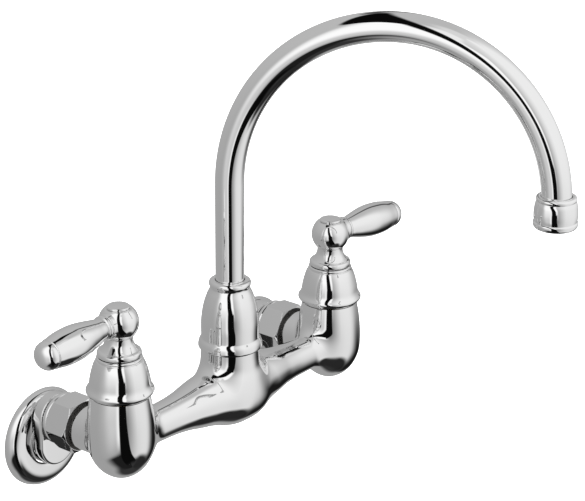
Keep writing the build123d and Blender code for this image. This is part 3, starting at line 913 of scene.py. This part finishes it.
point = wt.nodes.new("ShaderNodeTexCoord").outputs["Object"]
unit = wt.nodes.new("ShaderNodeVectorMath")
unit.operation = "NORMALIZE"
wt.links.new(point, unit.inputs[0])
split = wt.nodes.new("ShaderNodeSeparateXYZ")
wt.links.new(unit.outputs[0], split.inputs[0])
dx, dy, dz = split.outputs
# compass angle from straight into the wall, turning to the right, and its twin with the seam on the far side
ahead = op("MULTIPLY", op("ARCTAN2", dx, dy), 57.29578)
behind = op("MULTIPLY", op("ARCTAN2", op("MULTIPLY", dx, -1.0), op("MULTIPLY", dy, -1.0)), 57.29578)
height = op("MULTIPLY", op("ARCSINE", dz), 57.29578)
slant = op("SUBTRACT", ahead, op("MULTIPLY", height, 0.33))


def card(below, round_, a0, a1, e0, e1, sa0, sa1, se0, se1, tone):
    """A soft-edged panel between two compass angles and two heights, in degrees."""
    amount = op("MULTIPLY", op("MULTIPLY", rise(round_, a0, sa0), fall(round_, a1, sa1)),
                op("MULTIPLY", rise(height, e0, se0), fall(height, e1, se1)))
    return over(below, tone, amount)


tone = light_of(156)                                                    # grey wall in front
tone = card(tone, ahead, -200, 200, 20, 110, 10, 10, 70, 10, 183)       # lighter towards the top
tone = card(tone, behind, -74, 26, -100, 100, 46, 129, 10, 10, 220)     # white side wall
tone = card(tone, behind, -100, 124, 3, 100, 52, 41, 76, 10, 236)       # lighter towards the top
tone = card(tone, ahead, -150, -100, -28, 43, 80, 10, 54, 170, 70)      # shade beside the gap
tone = card(tone, ahead, -110, 103, 80, 110, 43, 58, 7, 10, 213)        # ceiling
tone = card(tone, ahead, -130, -66, -16, 18, 10, 26, 20, 24, 200)       # foot of the softbox
tone = card(tone, slant, -140, -61, 10, 61, 10, 22, 30, 8, 252)         # softbox
tone = card(tone, ahead, -112, -93, -20, 14, 4, 12, 14, 16, 240)        # its bright edge
tone = card(tone, ahead, -200, 200, -110, -55, 10, 10, 10, 18, 50)      # dark ground
tone = card(tone, ahead, -136, -56, -110, -28, 8, 34, 10, 9, 28)
tone = card(tone, ahead, 55, 170, -110, -50, 40, 40, 10, 16, 38)
tone = card(tone, ahead, 52, 92, -58, -9, 10, 40, 26, 18, 25)
# the black gap the camera looks through: upright on the left, then bent over the top,
# where its two edges are drawn on a level plane one unit up
up = op("MAXIMUM", dz, 0.05)
px, py = op("DIVIDE", dx, up), op("DIVIDE", dy, up)
outer = op("SUBTRACT", op("ADD", op("MULTIPLY", px, 0.66), 0.37), op("MULTIPLY", op("MULTIPLY", px, px), 0.045))
inner = op("ADD", op("ADD", op("MULTIPLY", op("MINIMUM", px, -0.25), 0.30), 0.42),
           op("MULTIPLY", rise(px, -0.43, 0.14), 0.30))
far = op("ADD", op("ABSOLUTE", px), 1.0)
band = op("MULTIPLY", rise(op("DIVIDE", op("SUBTRACT", py, outer), far), 0.0, 0.05),
          rise(op("DIVIDE", op("SUBTRACT", inner, py), far), 0.0, 0.04))
band = op("MULTIPLY", band, op("MULTIPLY", fall(px, 0.34, 0.12), rise(height, 5, 3)))
# it goes on to the right as a thin line
thread = op("DIVIDE", op("SUBTRACT", py, op("ADD", op("MULTIPLY", px, 0.41), 0.56)), far)
thread = op("MULTIPLY", fall(op("ABSOLUTE", thread), 0.045, 0.05), op("MULTIPLY", rise(px, 0.25, 0.1), rise(height, 5, 6)))
band = op("MAXIMUM", band, op("MULTIPLY", thread, 0.85))
low = op("MINIMUM", height, 0.0)
left = op("ADD", ahead, op("MULTIPLY", op("MULTIPLY", low, low), 0.011))
post = op("MULTIPLY", rise(left, -132.5, 3.5), fall(ahead, -101.5, 4.5))
post = op("MULTIPLY", post, op("MULTIPLY", fall(height, 11, 3), rise(height, -70, 20)))
tone = over(tone, 10, op("MAXIMUM", band, post))

glow = wt.nodes.new("ShaderNodeEmission")
glow.inputs["Color"].default_value = (1, 1, 1, 1)
wt.links.new(tone, glow.inputs["Strength"])
wt.links.new(glow.outputs[0], wt.nodes.new("ShaderNodeOutputMaterial").inputs["Surface"])
tent_mat.cycles.emission_sampling = "NONE"
bpy.ops.mesh.primitive_uv_sphere_add(segments=96, ring_count=64, radius=TENT_R, location=TENT_AT)
tent = bpy.context.object
tent.name = "light_tent"
tent.data.materials.append(tent_mat)
for ray in ("camera", "diffuse", "transmission", "volume_scatter", "shadow"):
    setattr(tent, "visible_" + ray, False)

world = bpy.data.worlds.new("studio")
bpy.context.scene.world = world
world.use_nodes = True
sky_tree = world.node_tree
sky_tree.nodes.clear()
shade = sky_tree.nodes.new("ShaderNodeBackground")
shade.inputs["Color"].default_value = (1, 1, 1, 1)
shade.inputs["Strength"].default_value = 1.02
sky_tree.links.new(shade.outputs[0], sky_tree.nodes.new("ShaderNodeOutputWorld").inputs["Surface"])

# pale floor, well under the faucet; the plate mirrors the studio and not the floor's edge
fm, ft, fb = node_mat("pale_floor")
fn_ = noise(ft, 3.0, 3, 0.5, ft.nodes.new("ShaderNodeTexCoord").outputs["Object"])
ft.links.new(remap(ft, fn_.outputs["Fac"], 0.3, 0.7, 0.78, 0.84), fb.inputs["Roughness"])
fb.inputs["Base Color"].default_value = (0.93, 0.93, 0.93, 1)
bpy.ops.mesh.primitive_plane_add(size=30.0, location=(0, 0, -0.45))
floor = bpy.context.object
floor.name = "floor"
floor.data.materials.append(fm)
floor.visible_glossy = False

# broad soft top light for the floor; the plate mirrors the studio panels instead
lamp_data = bpy.data.lights.new("top_light", "SUN")
lamp_data.energy = 4.6
lamp_data.angle = math.radians(60)
lamp = bpy.data.objects.new("top_light", lamp_data)
bpy.context.scene.collection.objects.link(lamp)
lamp.rotation_euler = (math.radians(12), math.radians(-8), 0)
lamp.visible_glossy = False

bpy.context.scene.view_settings.view_transform = "Standard"
bpy.context.scene.view_settings.look = "None"
